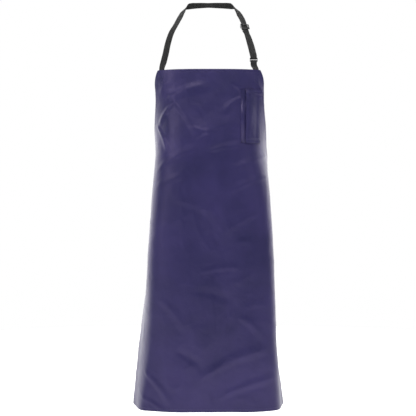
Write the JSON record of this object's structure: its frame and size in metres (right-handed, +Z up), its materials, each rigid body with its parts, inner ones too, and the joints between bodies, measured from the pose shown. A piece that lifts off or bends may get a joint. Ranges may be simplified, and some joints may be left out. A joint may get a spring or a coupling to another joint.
{
  "type": "welding apron",
  "caption": "Full-length bib apron of coated cloth with an adjustable webbing neck strap, a narrow gusseted chest pocket and a webbing waist belt closed by a side-release buckle.",
  "frame": {"origin": "middle of the neck strap behind the wearer's neck, where the apron hangs", "axes": "+Z up along the apron's length, -Y the way the wearer faces, +X towards the side with the pocket and the neck strap's slider"},
  "size_m": [0.4895, 0.2689, 1.3171],
  "materials": {
    "cloth": "satin",
    "webbing": "matte",
    "hardware": "satin",
    "thread": "matte"
  },
  "bodies": {
    "neck_loop": {"neck_strap": "webbing", "neck_ring": "hardware", "neck_strap_return": "webbing"},
    "neck_slider": {"neck_slider": "hardware", "neck_slider_fold": "webbing"},
    "apron": {"apron_panel": "cloth", "left_strap_end": "webbing", "ring_tab": "webbing", "pen_pocket": "cloth", "pocket_gusset": "cloth", "hem_stitching": "thread", "pocket_stitching": "thread", "strap_stitching": "thread", "waist_strap_left": "webbing", "waist_strap_right": "webbing", "waist_strap_run": "webbing", "waist_strap_return": "webbing", "buckle_socket": "hardware"},
    "buckle_prong": {"buckle_prong": "hardware", "prong_strap_loop": "webbing"},
    "prong_arm_upper": {"prong_arm_upper": "hardware"},
    "prong_arm_lower": {"prong_arm_lower": "hardware"},
    "waist_slider": {"waist_slider": "hardware", "waist_slider_fold": "webbing"}
  },
  "joints": [
    {"name": "apron_swing", "type": "hinge", "parent": "neck_loop", "child": "apron", "pos_m": [0.1439, -0.13001, -0.20437], "axis": [1, 0, 0], "range_deg": [-90, 90]},
    {"name": "neck_adjust", "type": "slide", "parent": "neck_loop", "child": "neck_slider", "axis": [0.2009, -0.4844, -0.8515], "range_m": [0, 0.07], "deforming": ["neck_strap_return"]},
    {"name": "buckle_release", "type": "slide", "parent": "apron", "child": "buckle_prong", "axis": [1, 0, 0], "range_m": [0, 0.032], "deforming": ["waist_strap_run", "waist_strap_return", "prong_arm_upper", "prong_arm_lower"]},
    {"name": "arm_upper_squeeze", "type": "hinge", "parent": "buckle_prong", "child": "prong_arm_upper", "pos_m": [0, 0.07195, -0.5823], "axis": [0, -1, 0], "range_deg": [0, 8], "stiffness_Nm_per_rad": 2},
    {"name": "arm_lower_squeeze", "type": "hinge", "parent": "buckle_prong", "child": "prong_arm_lower", "pos_m": [0, 0.07195, -0.5997], "axis": [0, 1, 0], "range_deg": [0, 8], "stiffness_Nm_per_rad": 2},
    {"name": "waist_adjust", "type": "slide", "parent": "apron", "child": "waist_slider", "axis": [-1, 0, 0], "range_m": [0, 0.03], "deforming": ["waist_strap_return"]}
  ],
  "couplings": [
    {"joint": "arm_lower_squeeze", "follows": "arm_upper_squeeze", "ratio": 1}
  ]
}
